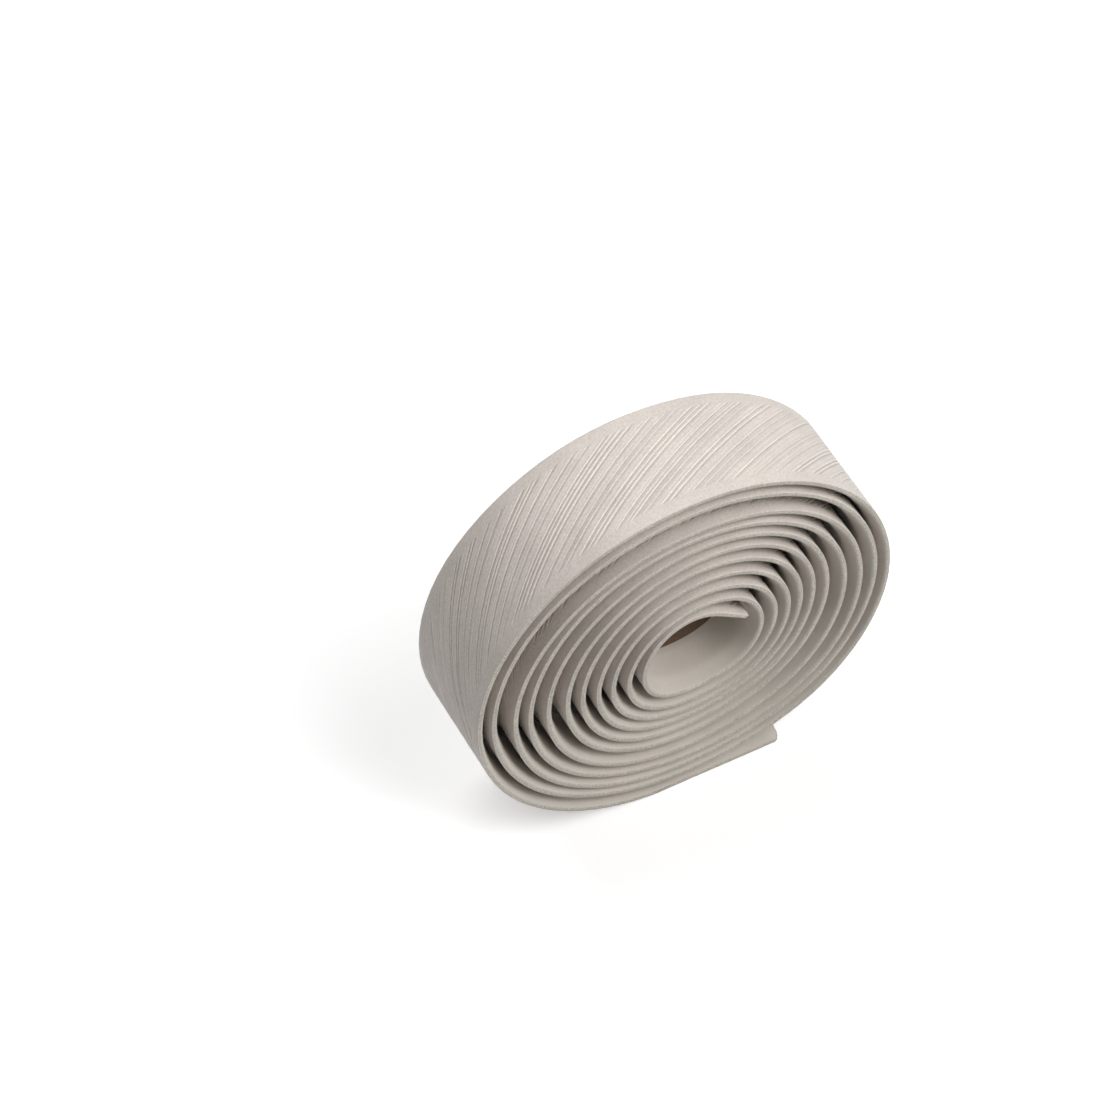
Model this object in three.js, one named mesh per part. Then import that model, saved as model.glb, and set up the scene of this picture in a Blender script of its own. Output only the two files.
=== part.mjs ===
// A roll of handlebar tape, standing on its rim: one long soft strip wound round an open eye.
// Millimetres. Z is up, X runs across the face of the roll and Y along its axis, from front to back.
// The floor is Z = 0, and the origin is on it, under the middle of the roll.

import * as THREE from 'three';

// The strip
const tapeWidth = 30;
const tapeThickness = 2.7;
const edgeThickness = 1.4; // the back is bevelled, so the strip is thinner along both edges
const bevelWidth = 4.5;
const edgeRounding = 0.4;
const endRounding = 0.6;

// The open eye: its radius at every eighth of a turn, counter-clockwise from +X and round to it again.
// The strip's inner end heads for the first of them, so that it stands off the round.
const eyeRadii = [14.1, 8.2, 11.3, 12.5, 12.7, 14.3, 11.1, 12.9, 14.1];
const innerEndAngle = 22.5; // degrees above +X

// The air between each turn and the next one further out, at the same eighths of a turn after +X:
// upper right, top, upper left, left, lower left, bottom, lower right, right
const pressed = 0.3; // what is left between turns that lie against each other
const looseness = [
  [4.1, 0.6, 0.6, 1.5, 1.6, 1.6, 0.4, 1.0],
  [1.5, 1.8, 2.0, 1.7, 0.8, pressed, 0.5, 0.7],
  [1.4, 1.5, 1.6, 1.4, 0.7, pressed, pressed, pressed],
  [1.5, 2.5, 1.9, 1.3, 1.0, 0.5, pressed, 0.7],
  [1.3, 1.6, 1.4, 1.4, 1.1, 0.9, 1.1, 1.1],
  [0.9, 1.4, 2.2, 2.5, 1.8, 2.5, 3.7, 2.5],
  [0.6, 0.6, 3.0, 2.1, 1.0, 1.6, 2.2, 1.8],
  [1.0, pressed, pressed, 1.4, 1.0, pressed, 0.6, 1.0],
  [1.8, 4.2, 5.4, 2.6, pressed, pressed, 1.8, 0.8],
  [0.6, 1.3, 0.7, 1.0, 2.2, 2.2],
];

// The tail: the last stretch, which lies flat on the floor under the roll
const sag = 0.5; // how far the roll's weight flattens it where it comes down
const tailLength = 28; // from the middle of that flat spot
const tailStep = 5;

const stepsPerTurn = 40;
const knotsPerTurn = eyeRadii.length - 1;
const knotAngle = 360 / knotsPerTurn;

// Radii of the strip's outer side at every eighth of a turn, from the inner end outwards:
// after the eye's own, each is a thickness and its air further out than the one a turn before it
function windingRadii() {
  const radii = eyeRadii.map((eyeRadius) => eyeRadius + tapeThickness);
  for (const air of looseness.flat()) {
    radii.push(radii[radii.length - knotsPerTurn] + tapeThickness + air);
  }
  return radii;
}

// A cubic B-spline led by the winding's radii, so that the strip bends evenly
function radiusAt(angle, radii) {
  const place = angle / knotAngle;
  const first = Math.min(Math.floor(place), radii.length - 2);
  const t = place - first;
  const at = (index) => radii[Math.min(Math.max(index, 0), radii.length - 1)];
  return ((1 - t) ** 3 * at(first - 1)
    + (3 * t ** 3 - 6 * t ** 2 + 4) * at(first)
    + (-3 * t ** 3 + 3 * t ** 2 + 3 * t + 1) * at(first + 1)
    + t ** 3 * at(first + 2)) / 6;
}

// The outer side of the strip from its inner end to its tail, in the plane of the roll's face
function windingCurve() {
  const radii = windingRadii();
  const step = 360 / stepsPerTurn;
  const lastAngle = (radii.length - 1) * knotAngle;
  const points = [];
  for (let angle = innerEndAngle; angle <= lastAngle; angle += step) {
    const radius = radiusAt(angle, radii);
    const turned = THREE.MathUtils.degToRad(angle);
    points.push(new THREE.Vector2(radius * Math.cos(turned), radius * Math.sin(turned)));
  }
  // The outer turn comes down to the flat spot, and from there the tail runs flat
  const lowest = points.reduce((best, point, index) => (point.y < points[best].y ? index : best), 0);
  const floorLevel = points[lowest].y + sag;
  let next = lowest;
  while (points[next - 1].y < floorLevel) next -= 1;
  const above = points[next - 1];
  const share = (above.y - floorLevel) / (above.y - points[next].y);
  const touchdown = above.clone().lerp(points[next], share);
  const flatRun = points[lowest].x + tailLength - endRounding - touchdown.x;
  const tailSteps = Math.max(2, Math.round(flatRun / tailStep));
  points.length = next;
  for (let i = 0; i <= tailSteps; i += 1) {
    points.push(new THREE.Vector2(touchdown.x + flatRun * i / tailSteps, floorLevel));
  }
  return points;
}

// The strip's section: x across its width, y out of its outer side.
// An inset makes it smaller all round, for the rounded ends.
function tapeSection(inset) {
  const half = tapeWidth / 2 - inset;
  const outer = -inset;
  const edge = -edgeThickness + inset;
  const back = -tapeThickness + inset;
  const round = Math.min(edgeRounding, (outer - edge) / 3);
  return [
    new THREE.Vector2(-half + round, outer),
    new THREE.Vector2(-half, outer - round),
    new THREE.Vector2(-half, edge + round),
    new THREE.Vector2(-half + round, edge),
    new THREE.Vector2(-half + bevelWidth, back),
    new THREE.Vector2(half - bevelWidth, back),
    new THREE.Vector2(half - round, edge),
    new THREE.Vector2(half, edge + round),
    new THREE.Vector2(half, outer - round),
    new THREE.Vector2(half - round, outer),
  ];
}

// Every station along the strip: where it is, which way the strip runs, and its section's inset
function tapeStations() {
  const curve = windingCurve();
  const stations = curve.map((point, index) => {
    const before = curve[Math.max(index - 1, 0)];
    const after = curve[Math.min(index + 1, curve.length - 1)];
    const along = after.clone().sub(before).normalize();
    return { point, along, inset: 0 };
  });
  const first = stations[0];
  const last = stations[stations.length - 1];
  // Both ends are rounded over, in two steps past the last full section, within the thin edges
  const rounding = Math.min(endRounding, edgeThickness * 0.45);
  for (const bend of [Math.PI / 4, Math.PI / 2]) {
    const reach = rounding * Math.sin(bend);
    const inset = rounding * (1 - Math.cos(bend));
    const start = first.point.clone().addScaledVector(first.along, -reach);
    const end = last.point.clone().addScaledVector(last.along, reach);
    stations.unshift({ point: start, along: first.along, inset });
    stations.push({ point: end, along: last.along, inset });
  }
  return stations;
}

// The wound strip as one closed body: its section at every station, joined up and closed at both ends
function tapeGeometry() {
  const stations = tapeStations();
  const positions = [];
  const extent = new THREE.Box2();
  for (const { point, along, inset } of stations) {
    const outward = new THREE.Vector2(along.y, -along.x);
    for (const corner of tapeSection(inset)) {
      const place = point.clone().addScaledVector(outward, corner.y);
      extent.expandByPoint(place);
      positions.push(place.x, corner.x, place.y);
    }
  }

  const section = tapeSection(0);
  const count = section.length;
  const indices = [];
  for (let ring = 0; ring < stations.length - 1; ring += 1) {
    for (let i = 0; i < count; i += 1) {
      const a = ring * count + i;
      const b = ring * count + (i + 1) % count;
      indices.push(a, a + count, b);
      indices.push(b, a + count, b + count);
    }
  }
  const lastRing = (stations.length - 1) * count;
  for (const [a, b, c] of THREE.ShapeUtils.triangulateShape(section, [])) {
    indices.push(a, b, c);
    indices.push(lastRing + a, lastRing + c, lastRing + b);
  }

  const geometry = new THREE.BufferGeometry();
  geometry.setAttribute('position', new THREE.Float32BufferAttribute(positions, 3));
  geometry.setIndex(indices);
  geometry.translate(-(extent.min.x + extent.max.x) / 2, 0, -extent.min.y);
  geometry.computeVertexNormals();
  return geometry;
}

const softFoam = new THREE.MeshStandardMaterial({ color: 0xc9c0b6, roughness: 0.85, metalness: 0 });

const tape = new THREE.Mesh(tapeGeometry(), softFoam);
tape.name = 'tape';

const group = new THREE.Group();
group.add(tape);

export default group;
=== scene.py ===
import bisect
import math

import bmesh
import bpy
import numpy as np
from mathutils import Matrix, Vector


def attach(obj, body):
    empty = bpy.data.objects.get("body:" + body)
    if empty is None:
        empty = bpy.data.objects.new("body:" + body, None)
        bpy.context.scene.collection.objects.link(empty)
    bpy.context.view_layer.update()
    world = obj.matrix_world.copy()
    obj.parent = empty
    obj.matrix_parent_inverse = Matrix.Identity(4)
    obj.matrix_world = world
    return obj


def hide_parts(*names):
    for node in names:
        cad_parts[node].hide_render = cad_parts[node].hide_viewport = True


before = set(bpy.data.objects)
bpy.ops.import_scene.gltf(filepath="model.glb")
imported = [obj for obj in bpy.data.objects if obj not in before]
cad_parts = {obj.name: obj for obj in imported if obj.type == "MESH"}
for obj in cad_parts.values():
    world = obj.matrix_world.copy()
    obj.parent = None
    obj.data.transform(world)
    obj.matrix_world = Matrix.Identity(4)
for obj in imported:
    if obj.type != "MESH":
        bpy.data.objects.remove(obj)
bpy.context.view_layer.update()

mm = 0.001
print("frame loaded")


# The strip, in millimetres: along it, across it, and height out of its embossed outer side

strip = {
    "width": 30.0,
    "thickness": 2.7,
    "edgeThickness": 1.4,
    "innerEndAngle": 22.5,
    "sag": 0.5,             # how far the roll's weight flattens it where it comes down
    "stationAngle": 4.5,    # between the stations of the plain parts
    "tailStation": 3.5,
    "tailPoints": 13,       # of the curve along the flat tail
    "nearEnd": 0.4,         # no plain station comes closer to the strip's ends
    "cornerRound": 1.4,     # of the cut ends, seen from above
    "endRound": 0.6,        # of the cut ends, seen from the side
    "endBends": (30, 60, 90),   # degrees of that round at its steps
    "endLeast": 0.2,        # share of the height that it leaves at least
    "taperLength": 7.0,     # the inner end thins out over this
    "taperTo": 0.72,
    "edgeWave": 0.12,       # how far the cut edges stray
    "strays": [(7.3, 0.5), (17.1, 1.0)],    # the waves of that: millimetres for each radian, and size
    "filmHalf": 4.6,        # half width of the backing film down the middle of the back
    "filmRaise": 0.07,
    "brownLineHalf": 2.1,        # half width of a dark brown line down the middle of the film
    "brownLineDepth": 0.03,      # how deep it lies in the film
}

# The eye's radii, at every eighth of a turn, and the air outside each turn
eyeRadii = [14.1, 8.2, 11.3, 12.5, 12.7, 14.3, 11.1, 12.9, 14.1]
knotsPerTurn = 8
pressed = 0.3
looseness = [
    [4.1, 0.6, 0.6, 1.5, 1.6, 1.6, 0.4, 1.0],
    [1.5, 1.8, 2.0, 1.7, 0.8, pressed, 0.5, 0.7],
    [1.4, 1.5, 1.6, 1.4, 0.7, pressed, pressed, pressed],
    [1.5, 2.5, 1.9, 1.3, 1.0, 0.5, pressed, 0.7],
    [1.3, 1.6, 1.4, 1.4, 1.1, 0.9, 1.1, 1.1],
    [0.9, 1.4, 2.2, 2.5, 1.8, 2.5, 3.7, 2.5],
    [0.6, 0.6, 3.0, 2.1, 1.0, 1.6, 2.2, 1.8],
    [1.0, pressed, pressed, 1.4, 1.0, pressed, 0.6, 1.0],
    [1.8, 4.2, 5.4, 2.6, pressed, pressed, 1.8, 0.8],
    [0.6, 1.3, 0.7, 1.0, 2.2, 2.2],
]

# The embossing: straight slanted grooves, pressed by a roller, so that they come round again
embossing = {
    "halfWidth": 11.75,     # of the embossed zone; the margins are plain
    "slope": 0.545,         # across the strip for each millimetre along it
    "rows": 10,
    "firstFromTail": 130.5,
    "wide": 1.0,            # size of each kind of groove
    "medium": 0.8,
    "thin": 0.6,
    "faint": 0.3,
    "profile": [            # across a groove: place, height, painted shading (-1 painted shade in it, 1 painted highlight on its lip)
        (-0.26, 0.0, 0.0), (0.0, -0.22, -1.0), (0.27, 0.05, 1.0), (0.52, 0.0, 0.0)],
    "unevenness": 0.2,      # how much a groove's depth and its painted shading vary along it
    "unevenAlong": 2.3,     # radians of that for each millimetre along the strip
    "unevenAcross": 1.9,    # and across it
    "runOut": 0.25,         # the grooves rise to the margin over this
    "nearEnd": 0.2,         # no column comes closer to the strip's ends
    "closest": 0.2,         # smallest step between columns
    "plainStep": 0.13,      # largest one, as a share of the winding's radius
}
grooves = [                 # millimetres along the strip to the next groove, and this groove's kind
    (1.8, "wide"), (1.6, "wide"), (1.4, "faint"), (2.1, "faint"), (1.9, "medium"), (2.3, "faint"),
    (2.4, "medium"), (2.4, "faint"), (1.9, "faint"), (2.3, "wide"), (1.8, "medium"), (1.5, "wide"),
    (1.9, "faint"), (1.6, "faint"), (1.6, "wide"), (1.4, "faint"), (2.0, "faint"), (1.7, "medium"),
    (2.0, "faint"), (1.8, "thin"), (1.8, "faint"), (1.4, "faint"), (1.8, "wide"), (2.2, "medium"),
    (2.3, "wide"), (1.5, "wide"), (1.9, "faint"), (1.6, "faint"), (2.1, "medium"), (2.0, "faint"),
    (2.7, "thin"), (2.1, "thin"), (2.5, "faint"), (2.3, "wide"), (2.2, "medium"), (2.0, "wide"),
    (2.0, "faint"), (1.5, "faint"), (2.3, "medium"), (1.8, "thin"), (3.0, "medium"), (2.7, "thin"),
    (2.0, "faint"), (2.3, "wide"), (1.7, "wide"), (1.5, "faint"), (2.2, "faint"), (2.8, "medium"),
    (3.3, "thin"), (2.2, "thin"), (2.6, "faint"), (2.1, "wide"), (2.1, "faint"), (1.7, "faint"),
    (1.9, "thin"), (2.3, "thin"), (1.8, "faint"), (1.7, "thin"), (1.5, "faint"), (2.3, "faint"),
    (1.7, "wide"), (2.1, "wide"), (2.5, "faint"),
]


def windingRadii():
    radii = [eyeRadius + strip["thickness"] for eyeRadius in eyeRadii]
    for turn in looseness:
        for air in turn:
            radii.append(radii[-knotsPerTurn] + strip["thickness"] + air)
    return radii


def radiusAt(angle, radii):
    place = angle * knotsPerTurn / 360
    first = min(int(place), len(radii) - 2)
    t = place - first
    near = [radii[min(max(first + step, 0), len(radii) - 1)] for step in (-1, 0, 1, 2)]
    weights = ((1 - t) ** 3, 3 * t ** 3 - 6 * t ** 2 + 4, -3 * t ** 3 + 3 * t ** 2 + 3 * t + 1, t ** 3)
    return sum(weight * radius for weight, radius in zip(weights, near)) / 6


def tailEnd():
    # The CAD tail's end on the floor
    points = [vertex.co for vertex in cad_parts["tape"].data.vertices]
    return max(point.x for point in points if point.z < 0.5 * mm) / mm


def windingCurve():
    # The strip's outer side in the plane of the roll's face, a point for every degree
    radii = windingRadii()
    angles = np.arange(strip["innerEndAngle"], (len(radii) - 1) * 360 / knotsPerTurn, 1.0)
    radius = np.array([radiusAt(angle, radii) for angle in angles])
    x = radius * np.cos(np.radians(angles))
    z = radius * np.sin(np.radians(angles))
    level = z.min() + strip["sag"]
    turned = int(np.argmin(z))
    while z[turned - 1] < level:
        turned -= 1
    x, z, angles = x[:turned], z[:turned], angles[:turned]
    x = x - (x.min() + x.max()) / 2
    z = z - level
    tail = np.linspace(x[-1], tailEnd() - strip["endRound"], strip["tailPoints"] + 1)[1:]
    x = np.concatenate([x, tail])
    z = np.concatenate([z, 0 * tail])
    distance = np.concatenate([[0], np.cumsum(np.hypot(np.diff(x), np.diff(z)))])
    alongX, alongZ = np.gradient(x), np.gradient(z)
    size = np.hypot(alongX, alongZ)
    stationAngles = np.arange(angles[0], angles[-1], strip["stationAngle"])
    stations = np.interp(stationAngles, angles, distance[:turned])
    tailStations = np.arange(distance[turned - 1], distance[-1], strip["tailStation"])
    return {
        "x": x, "z": z, "outX": alongZ / size, "outZ": -alongX / size,
        "distance": distance, "length": float(distance[-1]),
        "radius": np.append(radius[:turned], 0 * tail + radius[turned - 1]),
        "stations": np.concatenate([stations[1:], tailStations]),
    }


def placed(curve, along, across, height):
    # Points in metres for places on the strip; along may run a little past either end
    along = np.atleast_1d(np.asarray(along, float))
    inside = np.clip(along, 0, curve["length"])
    past = along - inside
    outX = np.interp(inside, curve["distance"], curve["outX"])
    outZ = np.interp(inside, curve["distance"], curve["outZ"])
    size = np.hypot(outX, outZ)
    outX, outZ = outX / size, outZ / size
    x = np.interp(inside, curve["distance"], curve["x"]) + outX * height - outZ * past
    z = np.interp(inside, curve["distance"], curve["z"]) + outZ * height + outX * past
    return np.stack([x, across + 0 * x, z], axis=1) * mm


# Rows of points along the strip, and the triangles between neighbouring rows

def newSkin():
    # pressed holds each point's painted groove shade or painted lip highlight
    return {"points": [], "pressed": [], "count": 0, "faces": [], "kinds": []}


def addRow(skin, keys, points, pressed=0.0):
    row = {"keys": list(keys), "first": skin["count"]}
    skin["points"].append(points)
    skin["pressed"].append(np.zeros(len(points)) + pressed)
    skin["count"] += len(points)
    return row


def addFace(skin, corners, kind):
    skin["faces"].append(corners)
    skin["kinds"].append(kind)


def joinRows(skin, a, b, kind):
    # Two rows with different numbers of points: each step takes the one whose next point comes first
    i = j = 0
    lastA, lastB = len(a["keys"]) - 1, len(b["keys"]) - 1
    while i < lastA or j < lastB:
        if j == lastB or (i < lastA and a["keys"][i + 1] <= b["keys"][j + 1]):
            addFace(skin, (a["first"] + i, a["first"] + i + 1, b["first"] + j), kind)
            i += 1
        else:
            addFace(skin, (a["first"] + i, b["first"] + j + 1, b["first"] + j), kind)
            j += 1


# The tape

def grooveColumns(curve):
    # Where each column of the embossed zone crosses the middle of the strip, its height and its painted
    # shading
    length = curve["length"]
    reach = embossing["halfWidth"] / embossing["slope"]
    slant = math.sin(math.atan(embossing["slope"]))
    period = sum(step for step, kind in grooves)
    fromTail = embossing["firstFromTail"] - 2 * period
    centres = []
    while fromTail < length + reach:
        for step, kind in grooves:
            centres.append((length - fromTail, kind))
            fromTail += step
    columns = []
    for middle, kind in sorted(centres):
        if not -reach < middle < length + reach:
            continue
        size = embossing[kind]
        for place, height, paintedShading in embossing["profile"]:
            column = middle + place * size / slant
            if not columns or column > columns[-1][0] + embossing["closest"]:
                columns.append((column, height * size, paintedShading * size))
    # Where the strip bends sharply, the plain stretches between the grooves take columns too
    filled = columns[:1]
    for column in columns[1:]:
        start = filled[-1][0]
        step = embossing["plainStep"] * np.interp(start, curve["distance"], curve["radius"])
        count = math.ceil((column[0] - start) / step)
        filled += [(start + (column[0] - start) * i / count, 0.0, 0.0) for i in range(1, count)]
        filled.append(column)
    return filled


def edgeRows():
    # Across and height, from the embossed zone over the margin, edge and bevel to the dark brown line
    half = strip["width"] / 2
    edge = -strip["edgeThickness"]
    back = -strip["thickness"]
    film = back - strip["filmRaise"]
    return [
        (half - 2.6, 0.0, "skin"), (half - 0.35, 0.0, "skin"),                  # margin
        (half - 0.1, -0.05, "skin"), (half - 0.03, -0.2, "skin"),               # corner
        (half - 0.1, -0.31, "foam"), (half - 0.01, -0.48, "foam"),              # seam under the skin
        (half, -0.95, "foam"), (half - 0.14, edge + 0.15, "foam"),              # cut edge
        (half - 0.5, edge - 0.06, "back"), (half - 1.6, edge - 0.46, "back"),   # bevel
        (half - 2.8, edge - 0.85, "back"), (half - 3.9, back + 0.14, "back"),
        (half - 5.0, back + 0.01, "back"), (half - 6.2, back, "back"),          # flat back
        (strip["filmHalf"] + 0.2, back, "back"),
        (strip["filmHalf"], film, "film"), (strip["brownLineHalf"] + 0.1, film, "film"),
        (strip["brownLineHalf"], film + strip["brownLineDepth"], "glue"),
    ]


def thicknessShare(along):
    # The inner end thins out
    t = np.clip(np.asarray(along, float) / strip["taperLength"], 0, 1)
    return strip["taperTo"] + (1 - strip["taperTo"]) * np.sin(t * math.pi / 2)


def rowEnds(curve, across):
    # A row near the edge stops short, so that the cut ends have round corners
    radius = strip["cornerRound"]
    over = max(0.0, abs(across) - (strip["width"] / 2 - radius))
    short = radius - math.sqrt(max(0.0, radius ** 2 - over ** 2))
    return short, curve["length"] - short


def makeZone(skin, curve):
    # The embossed zone: every column of points runs along a groove
    columns = grooveColumns(curve)
    crossings, heights, paintedShading = zip(*columns)
    zone = embossing["halfWidth"]
    runOut = embossing["runOut"]
    acrosses = list(np.linspace(-zone, zone, embossing["rows"] + 1))
    acrosses = [-zone, runOut - zone, *acrosses[1:-1], zone - runOut, zone]
    rows = []
    for across in acrosses:
        start, end = rowEnds(curve, across)
        shift = across / embossing["slope"]
        first = bisect.bisect_right(crossings, start + shift + embossing["nearEnd"])
        last = bisect.bisect_left(crossings, end + shift - embossing["nearEnd"])
        along = np.array([start, *[place - shift for place in crossings[first:last]], end])
        turn = embossing["unevenAlong"] * (along + shift) + embossing["unevenAcross"] * across
        depth = 1 + embossing["unevenness"] * np.sin(turn)
        height = np.array([0.0, *heights[first:last], 0.0]) * depth
        # painted shade in the grooves and painted highlight on their lips, kept as pressed
        pressed = np.array([0.0, *paintedShading[first:last], 0.0]) * depth
        if abs(across) == zone:
            height *= 0
            pressed *= 0
        row = addRow(skin, along + shift, placed(curve, along, across, height), pressed)
        row.update({"across": across, "along": along, "endHeight": 0.0})
        rows.append(row)
    for a, b in zip(rows, rows[1:]):
        joinRows(skin, a, b, "skin")
    for row in (rows[0], rows[-1]):
        row["keys"] = list(row["along"])
    return rows


def makeSide(skin, curve, side):
    # Margin, edge, bevel and back on one side of the middle
    rows = []
    zone = embossing["halfWidth"]
    half = strip["width"] / 2
    for across, height, kind in edgeRows():
        start, end = rowEnds(curve, across)
        stations = curve["stations"]
        stations = stations[(stations > start + strip["nearEnd"]) & (stations < end - strip["nearEnd"])]
        along = np.array([start, *stations, end])
        wave = 0 * along
        for turn, (length, size) in enumerate(strip["strays"], 1):
            wave += size * np.sin(along / length + turn * side)
        wave *= strip["edgeWave"] * max(0.0, (across - zone) / (half - zone))
        points = placed(curve, along, side * across + wave, height * thicknessShare(along))
        row = addRow(skin, along, points)
        row.update({"across": side * across, "along": along, "endHeight": height, "kind": kind})
        rows.append(row)
    return rows


def makeMiddle(skin, curve):
    stations = curve["stations"]
    stations = stations[stations < curve["length"] - strip["nearEnd"]]
    along = np.array([0.0, *stations, curve["length"]])
    height = -strip["thickness"] - strip["filmRaise"] + strip["brownLineDepth"]
    row = addRow(skin, along, placed(curve, along, 0.0, height * thicknessShare(along)))
    row.update({"across": 0.0, "along": along, "endHeight": height})
    return row


def closeEnd(skin, curve, rows, last):
    # The rows' ends make a loop, which is rounded over and filled
    place = -1 if last else 0
    way = 1 if last else -1
    loop = [row["first"] + (len(row["keys"]) - 1 if last else 0) for row in rows]
    along = np.array([row["along"][place] for row in rows])
    across = np.array([row["across"] for row in rows])
    height = np.array([row["endHeight"] for row in rows]) * thicknessShare(along)
    level = -strip["edgeThickness"] / 2 * thicknessShare(along)
    for bend in strip["endBends"]:
        reach = strip["endRound"] * math.sin(math.radians(bend))
        inset = strip["endRound"] * (1 - math.cos(math.radians(bend)))
        above = height - level
        kept = np.maximum(np.abs(above) - inset, strip["endLeast"] * np.abs(above))
        squeezed = level + np.sign(above) * kept
        narrowed = across * (1 - inset / strip["width"])
        points = placed(curve, along + way * reach, narrowed, squeezed)
        ring = addRow(skin, range(len(rows)), points)
        ids = [ring["first"] + i for i in range(len(rows))]
        for i in range(len(rows)):
            n = (i + 1) % len(rows)
            addFace(skin, (loop[i], loop[n], ids[n], ids[i]), "foam")
        loop = ids
    addFace(skin, tuple(loop), "foam")


def makeTape(curve):
    skin = newSkin()
    zone = makeZone(skin, curve)
    front = makeSide(skin, curve, -1)
    back = makeSide(skin, curve, 1)
    middle = makeMiddle(skin, curve)
    joinRows(skin, front[0], zone[0], "skin")
    joinRows(skin, zone[-1], back[0], "skin")
    for side in (front, back):
        for a, b in zip(side, side[1:]):
            joinRows(skin, a, b, b["kind"])
        joinRows(skin, side[-1], middle, "glue")
    loopRows = [*zone, *back, middle, *front[::-1]]
    closeEnd(skin, curve, loopRows, False)
    closeEnd(skin, curve, loopRows, True)
    return meshFrom("tape_roll", skin, ["skin", "foam", "back", "film", "glue"])


def meshFrom(name, skin, kinds):
    mesh = bpy.data.meshes.new(name)
    mesh.from_pydata(np.concatenate(skin["points"]).tolist(), [], skin["faces"])
    for kind in kinds:
        mesh.materials.append(materials[kind])
    mesh.polygons.foreach_set("material_index", [kinds.index(kind) for kind in skin["kinds"]])
    # The pressed attribute carries the painted shade of the grooves and the painted highlight of their
    # lips
    paintedShading = mesh.attributes.new("pressed", "FLOAT", "POINT")
    paintedShading.data.foreach_set("value", np.concatenate(skin["pressed"]))
    work = bmesh.new()
    work.from_mesh(mesh)
    bmesh.ops.recalc_face_normals(work, faces=work.faces)
    if work.calc_volume(signed=True) < 0:
        bmesh.ops.reverse_faces(work, faces=work.faces)
    print(name, "volume", round(work.calc_volume(signed=True) * 1e6, 2), "ml, open edges",
          sum(not edge.is_manifold for edge in work.edges))
    work.to_mesh(mesh)
    work.free()
    mesh.shade_smooth()
    piece = bpy.data.objects.new(name, mesh)
    bpy.context.scene.collection.objects.link(piece)
    return piece


# Materials

surface = {
    "specular": 0.35,
    "sheen": 0.1,
    "mottleScale": 90,      # large soft patches
    "mottleDetail": 3.0,
    "mottle": [(0.35, 0.96), (0.65, 1.03)],     # place in the noise, and how light
    "speckleScale": 2000,   # fine grain
    "speckleDetail": 1.0,
    "speckle": (0.3, 0.7),  # from the darkest grain to the plain colour
}
looks = {                   # grain darkens the colour; a bump is the scale and depth of its noise
    "skin": {
        "name": "embossed_skin", "color": (0.660, 0.602, 0.552), "grain": 0.16,
        "bumps": [(700, 0.00004), (1900, 0.00004)], "roughness": 0.62,
        "paintedGrooveShade": 0.60,     # how light the painted shade in a groove is, and the plain skin, against the painted highlight on a lip
        "plain": 0.78,
        "fade": (0.27, 0.42, 0.58, 0.73),       # from painted groove shade to plain, and from plain to painted lip highlight
    },
    "foam": {
        "name": "cut_foam", "color": (0.562, 0.525, 0.459), "grain": 0.34,
        "bumps": [(900, 0.00006), (2400, 0.00010)], "roughness": 0.85,
    },
    "back": {
        "name": "pressed_back", "color": (0.540, 0.497, 0.442), "grain": 0.05,
        "bumps": [(600, 0.00003)], "roughness": 0.7,
    },
    "film": {
        "name": "backing_film", "color": (0.553, 0.507, 0.455), "grain": 0.03,
        "bumps": [(500, 0.00002)], "roughness": 0.5,
    },
    # a dark brown line down the middle of the back
    "glue": {
        "name": "brown_line", "color": (0.165, 0.10, 0.055), "grain": 0.25,
        "bumps": [(500, 0.00003)], "roughness": 0.55,
    },
}


def newMaterial(name, roughness, sheen=0.0):
    material = bpy.data.materials.new(name)
    material.use_nodes = True
    shader = material.node_tree.nodes["Principled BSDF"]
    shader.inputs["Roughness"].default_value = roughness
    shader.inputs["Sheen Weight"].default_value = sheen
    shader.inputs["Specular IOR Level"].default_value = surface["specular"]
    return material, shader


def addNoise(material, scale, detail=2.0, roughness=0.5):
    nodes, links = material.node_tree.nodes, material.node_tree.links
    place = nodes.get("place") or nodes.new("ShaderNodeTexCoord")
    place.name = "place"
    noise = nodes.new("ShaderNodeTexNoise")
    noise.inputs["Scale"].default_value = scale
    noise.inputs["Detail"].default_value = detail
    noise.inputs["Roughness"].default_value = roughness
    links.new(place.outputs["Object"], noise.inputs["Vector"])
    return noise.outputs["Fac"]


def blend(material, factor, stops):
    # A colour that follows factor through stops of (place, colour)
    ramp = material.node_tree.nodes.new("ShaderNodeValToRGB")
    while len(ramp.color_ramp.elements) < len(stops):
        ramp.color_ramp.elements.new(1)
    for element, (place, color) in zip(ramp.color_ramp.elements, stops):
        element.position = place
        element.color = (*color, 1)
    material.node_tree.links.new(factor, ramp.inputs["Fac"])
    return ramp.outputs["Color"]


def multiply(material, a, b):
    mix = material.node_tree.nodes.new("ShaderNodeMix")
    mix.data_type = "RGBA"
    mix.blend_type = "MULTIPLY"
    mix.inputs["Factor"].default_value = 1
    material.node_tree.links.new(a, mix.inputs["A"])
    material.node_tree.links.new(b, mix.inputs["B"])
    return mix.outputs["Result"]


def addBump(material, shader, layers):
    # Noise layers of (scale, distance), each bumping on top of the one before
    nodes, links = material.node_tree.nodes, material.node_tree.links
    normal = None
    for scale, distance in layers:
        bump = nodes.new("ShaderNodeBump")
        bump.inputs["Strength"].default_value = 1
        bump.inputs["Distance"].default_value = distance
        links.new(addNoise(material, scale), bump.inputs["Height"])
        if normal is not None:
            links.new(normal, bump.inputs["Normal"])
        normal = bump.outputs["Normal"]
    links.new(normal, shader.inputs["Normal"])


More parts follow.
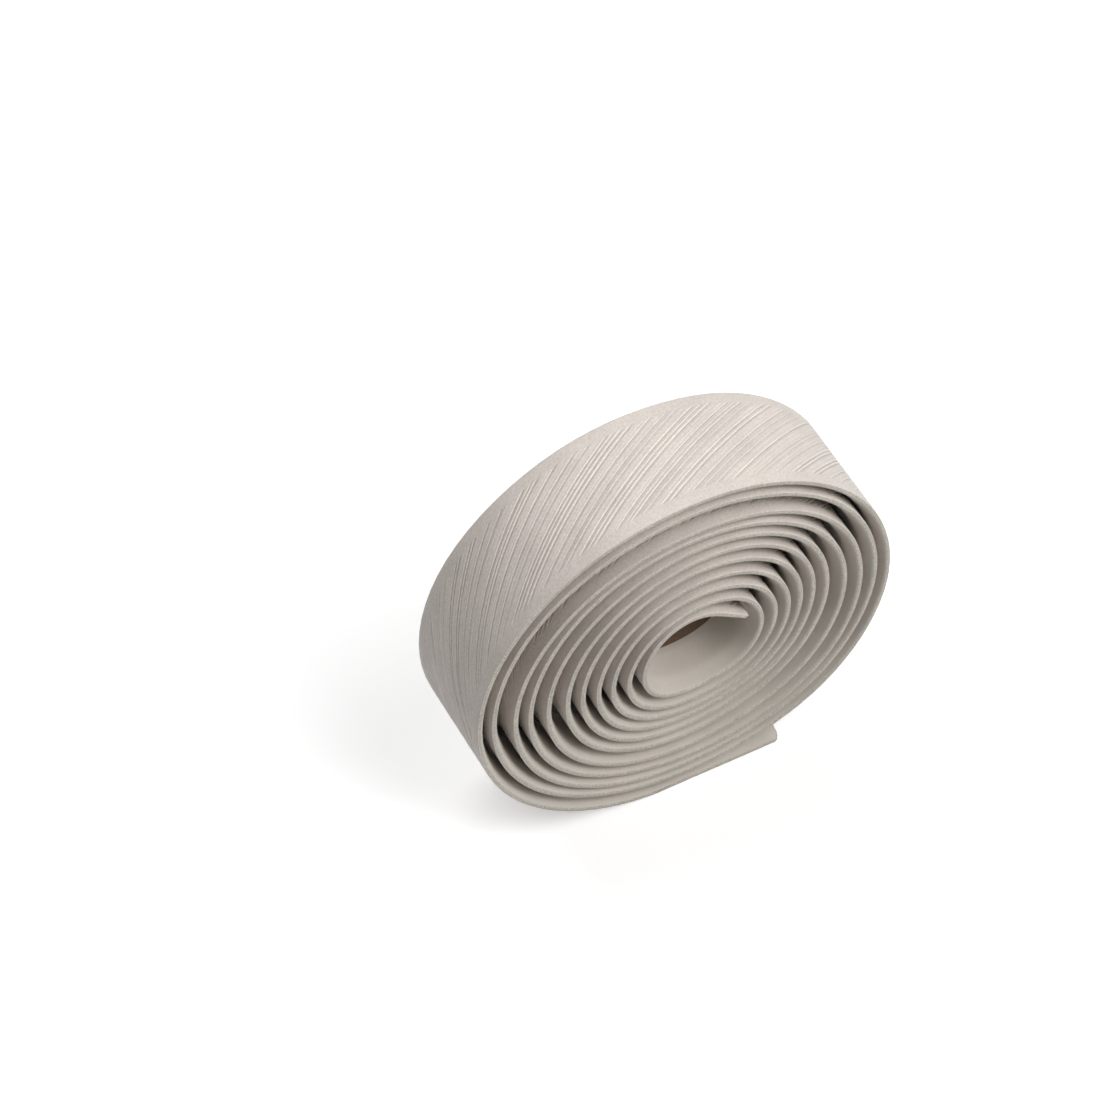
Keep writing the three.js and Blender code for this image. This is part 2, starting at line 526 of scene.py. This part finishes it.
def foamMaterial(look, paintedShade=1.0):
    # the second argument is the share of the colour that the later painted groove shade leaves, and the
    # colour is made paler here for it
    material, shader = newMaterial(look["name"], look["roughness"], surface["sheen"])
    color = [c / paintedShade for c in look["color"]]
    mottle = blend(material, addNoise(material, surface["mottleScale"], surface["mottleDetail"]),
                   [(place, [light * c for c in color]) for place, light in surface["mottle"]])
    darkest, plain = surface["speckle"]
    speckle = blend(material, addNoise(material, surface["speckleScale"], surface["speckleDetail"]),
                    [(darkest, [1 - look["grain"]] * 3), (plain, [1, 1, 1])])
    material.node_tree.links.new(multiply(material, mottle, speckle), shader.inputs["Base Color"])
    addBump(material, shader, look["bumps"])
    return material


def skinMaterial(look):
    # Foam with painted shade in its grooves and a painted highlight on their lips, as the mesh's pressed
    # attribute tells
    material = foamMaterial(look, look["plain"])
    nodes, links = material.node_tree.nodes, material.node_tree.links
    pressed = nodes.new("ShaderNodeAttribute")
    pressed.attribute_name = "pressed"
    spread = nodes.new("ShaderNodeMapRange")
    spread.inputs["From Min"].default_value = -1
    links.new(pressed.outputs["Fac"], spread.inputs["Value"])
    # painted shade in the grooves, plain skin, and a painted highlight on the lips
    lights = (look["paintedGrooveShade"], look["plain"], look["plain"], 1)
    paintedShade = blend(material, spread.outputs["Result"],
                  [(place, [light] * 3) for place, light in zip(look["fade"], lights)])
    color = nodes["Principled BSDF"].inputs["Base Color"]
    links.new(multiply(material, color.links[0].from_socket, paintedShade), color)
    return material


materials = {}
for kind, look in looks.items():
    make = skinMaterial if "paintedGrooveShade" in look else foamMaterial
    materials[kind] = make(look)
print("materials made")

curve = windingCurve()
tape = makeTape(curve)
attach(tape, "root")
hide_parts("tape")
print("tape made:", len(tape.data.polygons), "faces")


# Floor, light and camera

stage = {
    "floorSize": 8.0,
    "floorColor": (0.78, 0.78, 0.78),
    "floorRoughness": 0.9,
    "floorGlow": 0.43,      # only the camera, gloss and glass see it, so that the paper is white
    "ambient": 0.005,
    "aim": (0, 0, 0.05),    # what the lamps point at, the middle of the roll
    "lamps": {              # place, size and power
        "keyHigh": ((0.50, -0.69, 1.41), 1.0, 11.7),    # front, a little to the right
        "keyLow": ((0.80, -1.02, 0.99), 1.1, 13.0),     # the same, lower
        "back": ((-0.34, 0.73, 1.44), 1.1, 13.4),       # behind, a little to the left
        "backRight": ((0.42, 0.73, 1.41), 1.0, 4.3),
    },
}


def makeFloor():
    half = stage["floorSize"] / 2
    mesh = bpy.data.meshes.new("floor")
    corners = [(-half, -half, 0), (half, -half, 0), (half, half, 0), (-half, half, 0)]
    mesh.from_pydata(corners, [], [(0, 1, 2, 3)])
    material, shader = newMaterial("floor_paper", stage["floorRoughness"])
    shader.inputs["Base Color"].default_value = (*stage["floorColor"], 1)
    shader.inputs["Emission Color"].default_value = (1, 1, 1, 1)
    nodes, links = material.node_tree.nodes, material.node_tree.links
    light = nodes.new("ShaderNodeLightPath")
    seen = light.outputs["Is Camera Ray"]
    for kind in ("Is Glossy Ray", "Is Transmission Ray"):
        add = nodes.new("ShaderNodeMath")
        links.new(seen, add.inputs[0])
        links.new(light.outputs[kind], add.inputs[1])
        seen = add.outputs[0]
    glow = nodes.new("ShaderNodeMath")
    glow.operation = "MULTIPLY"
    glow.inputs[1].default_value = stage["floorGlow"]
    links.new(seen, glow.inputs[0])
    links.new(glow.outputs[0], shader.inputs["Emission Strength"])
    mesh.materials.append(material)
    floor = bpy.data.objects.new("floor", mesh)
    bpy.context.scene.collection.objects.link(floor)


def aimAt(thing, target):
    thing.rotation_euler = (Vector(target) - thing.location).to_track_quat("-Z", "Y").to_euler()


def makeLamp(name, place, size, power):
    light = bpy.data.lights.new(name, "AREA")
    light.shape = "DISK"
    light.size = size
    light.energy = power
    lamp = bpy.data.objects.new(name, light)
    lamp.location = place
    aimAt(lamp, stage["aim"])
    bpy.context.scene.collection.objects.link(lamp)


def makeWorld():
    world = bpy.data.worlds.new("studio")
    world.use_nodes = True
    world.node_tree.nodes["Background"].inputs["Color"].default_value = (1, 1, 1, 1)
    world.node_tree.nodes["Background"].inputs["Strength"].default_value = stage["ambient"]
    bpy.context.scene.world = world


# The camera looks down from the front left, as in the photograph
view = {
    "eye": (3.96, 51.60),           # the eye of the roll, in the plane of its face
    "fromEye": (-313.5, -525.0, 797.4),
    "tilt": 38.2,                   # degrees, from straight down
    "turn": -28.173,                # degrees, to the right
    "lens": 139.2,
    "sensor": 36,
    "clipStart": 0.05,
}


def makeCamera():
    data = bpy.data.cameras.new("camera")
    data.sensor_width = view["sensor"]
    data.lens = view["lens"]
    data.clip_start = view["clipStart"]
    camera = bpy.data.objects.new("camera", data)
    eyeX, eyeZ = view["eye"]
    offX, offY, offZ = view["fromEye"]
    camera.location = Vector((eyeX + offX, offY, eyeZ + offZ)) * mm
    camera.rotation_euler = (math.radians(view["tilt"]), 0, math.radians(view["turn"]))
    bpy.context.scene.collection.objects.link(camera)
    bpy.context.scene.camera = camera


makeFloor()
for name, (place, size, power) in stage["lamps"].items():
    makeLamp(name, place, size, power)
makeWorld()
makeCamera()
bpy.context.scene.view_settings.view_transform = "Standard"
print("stage made")
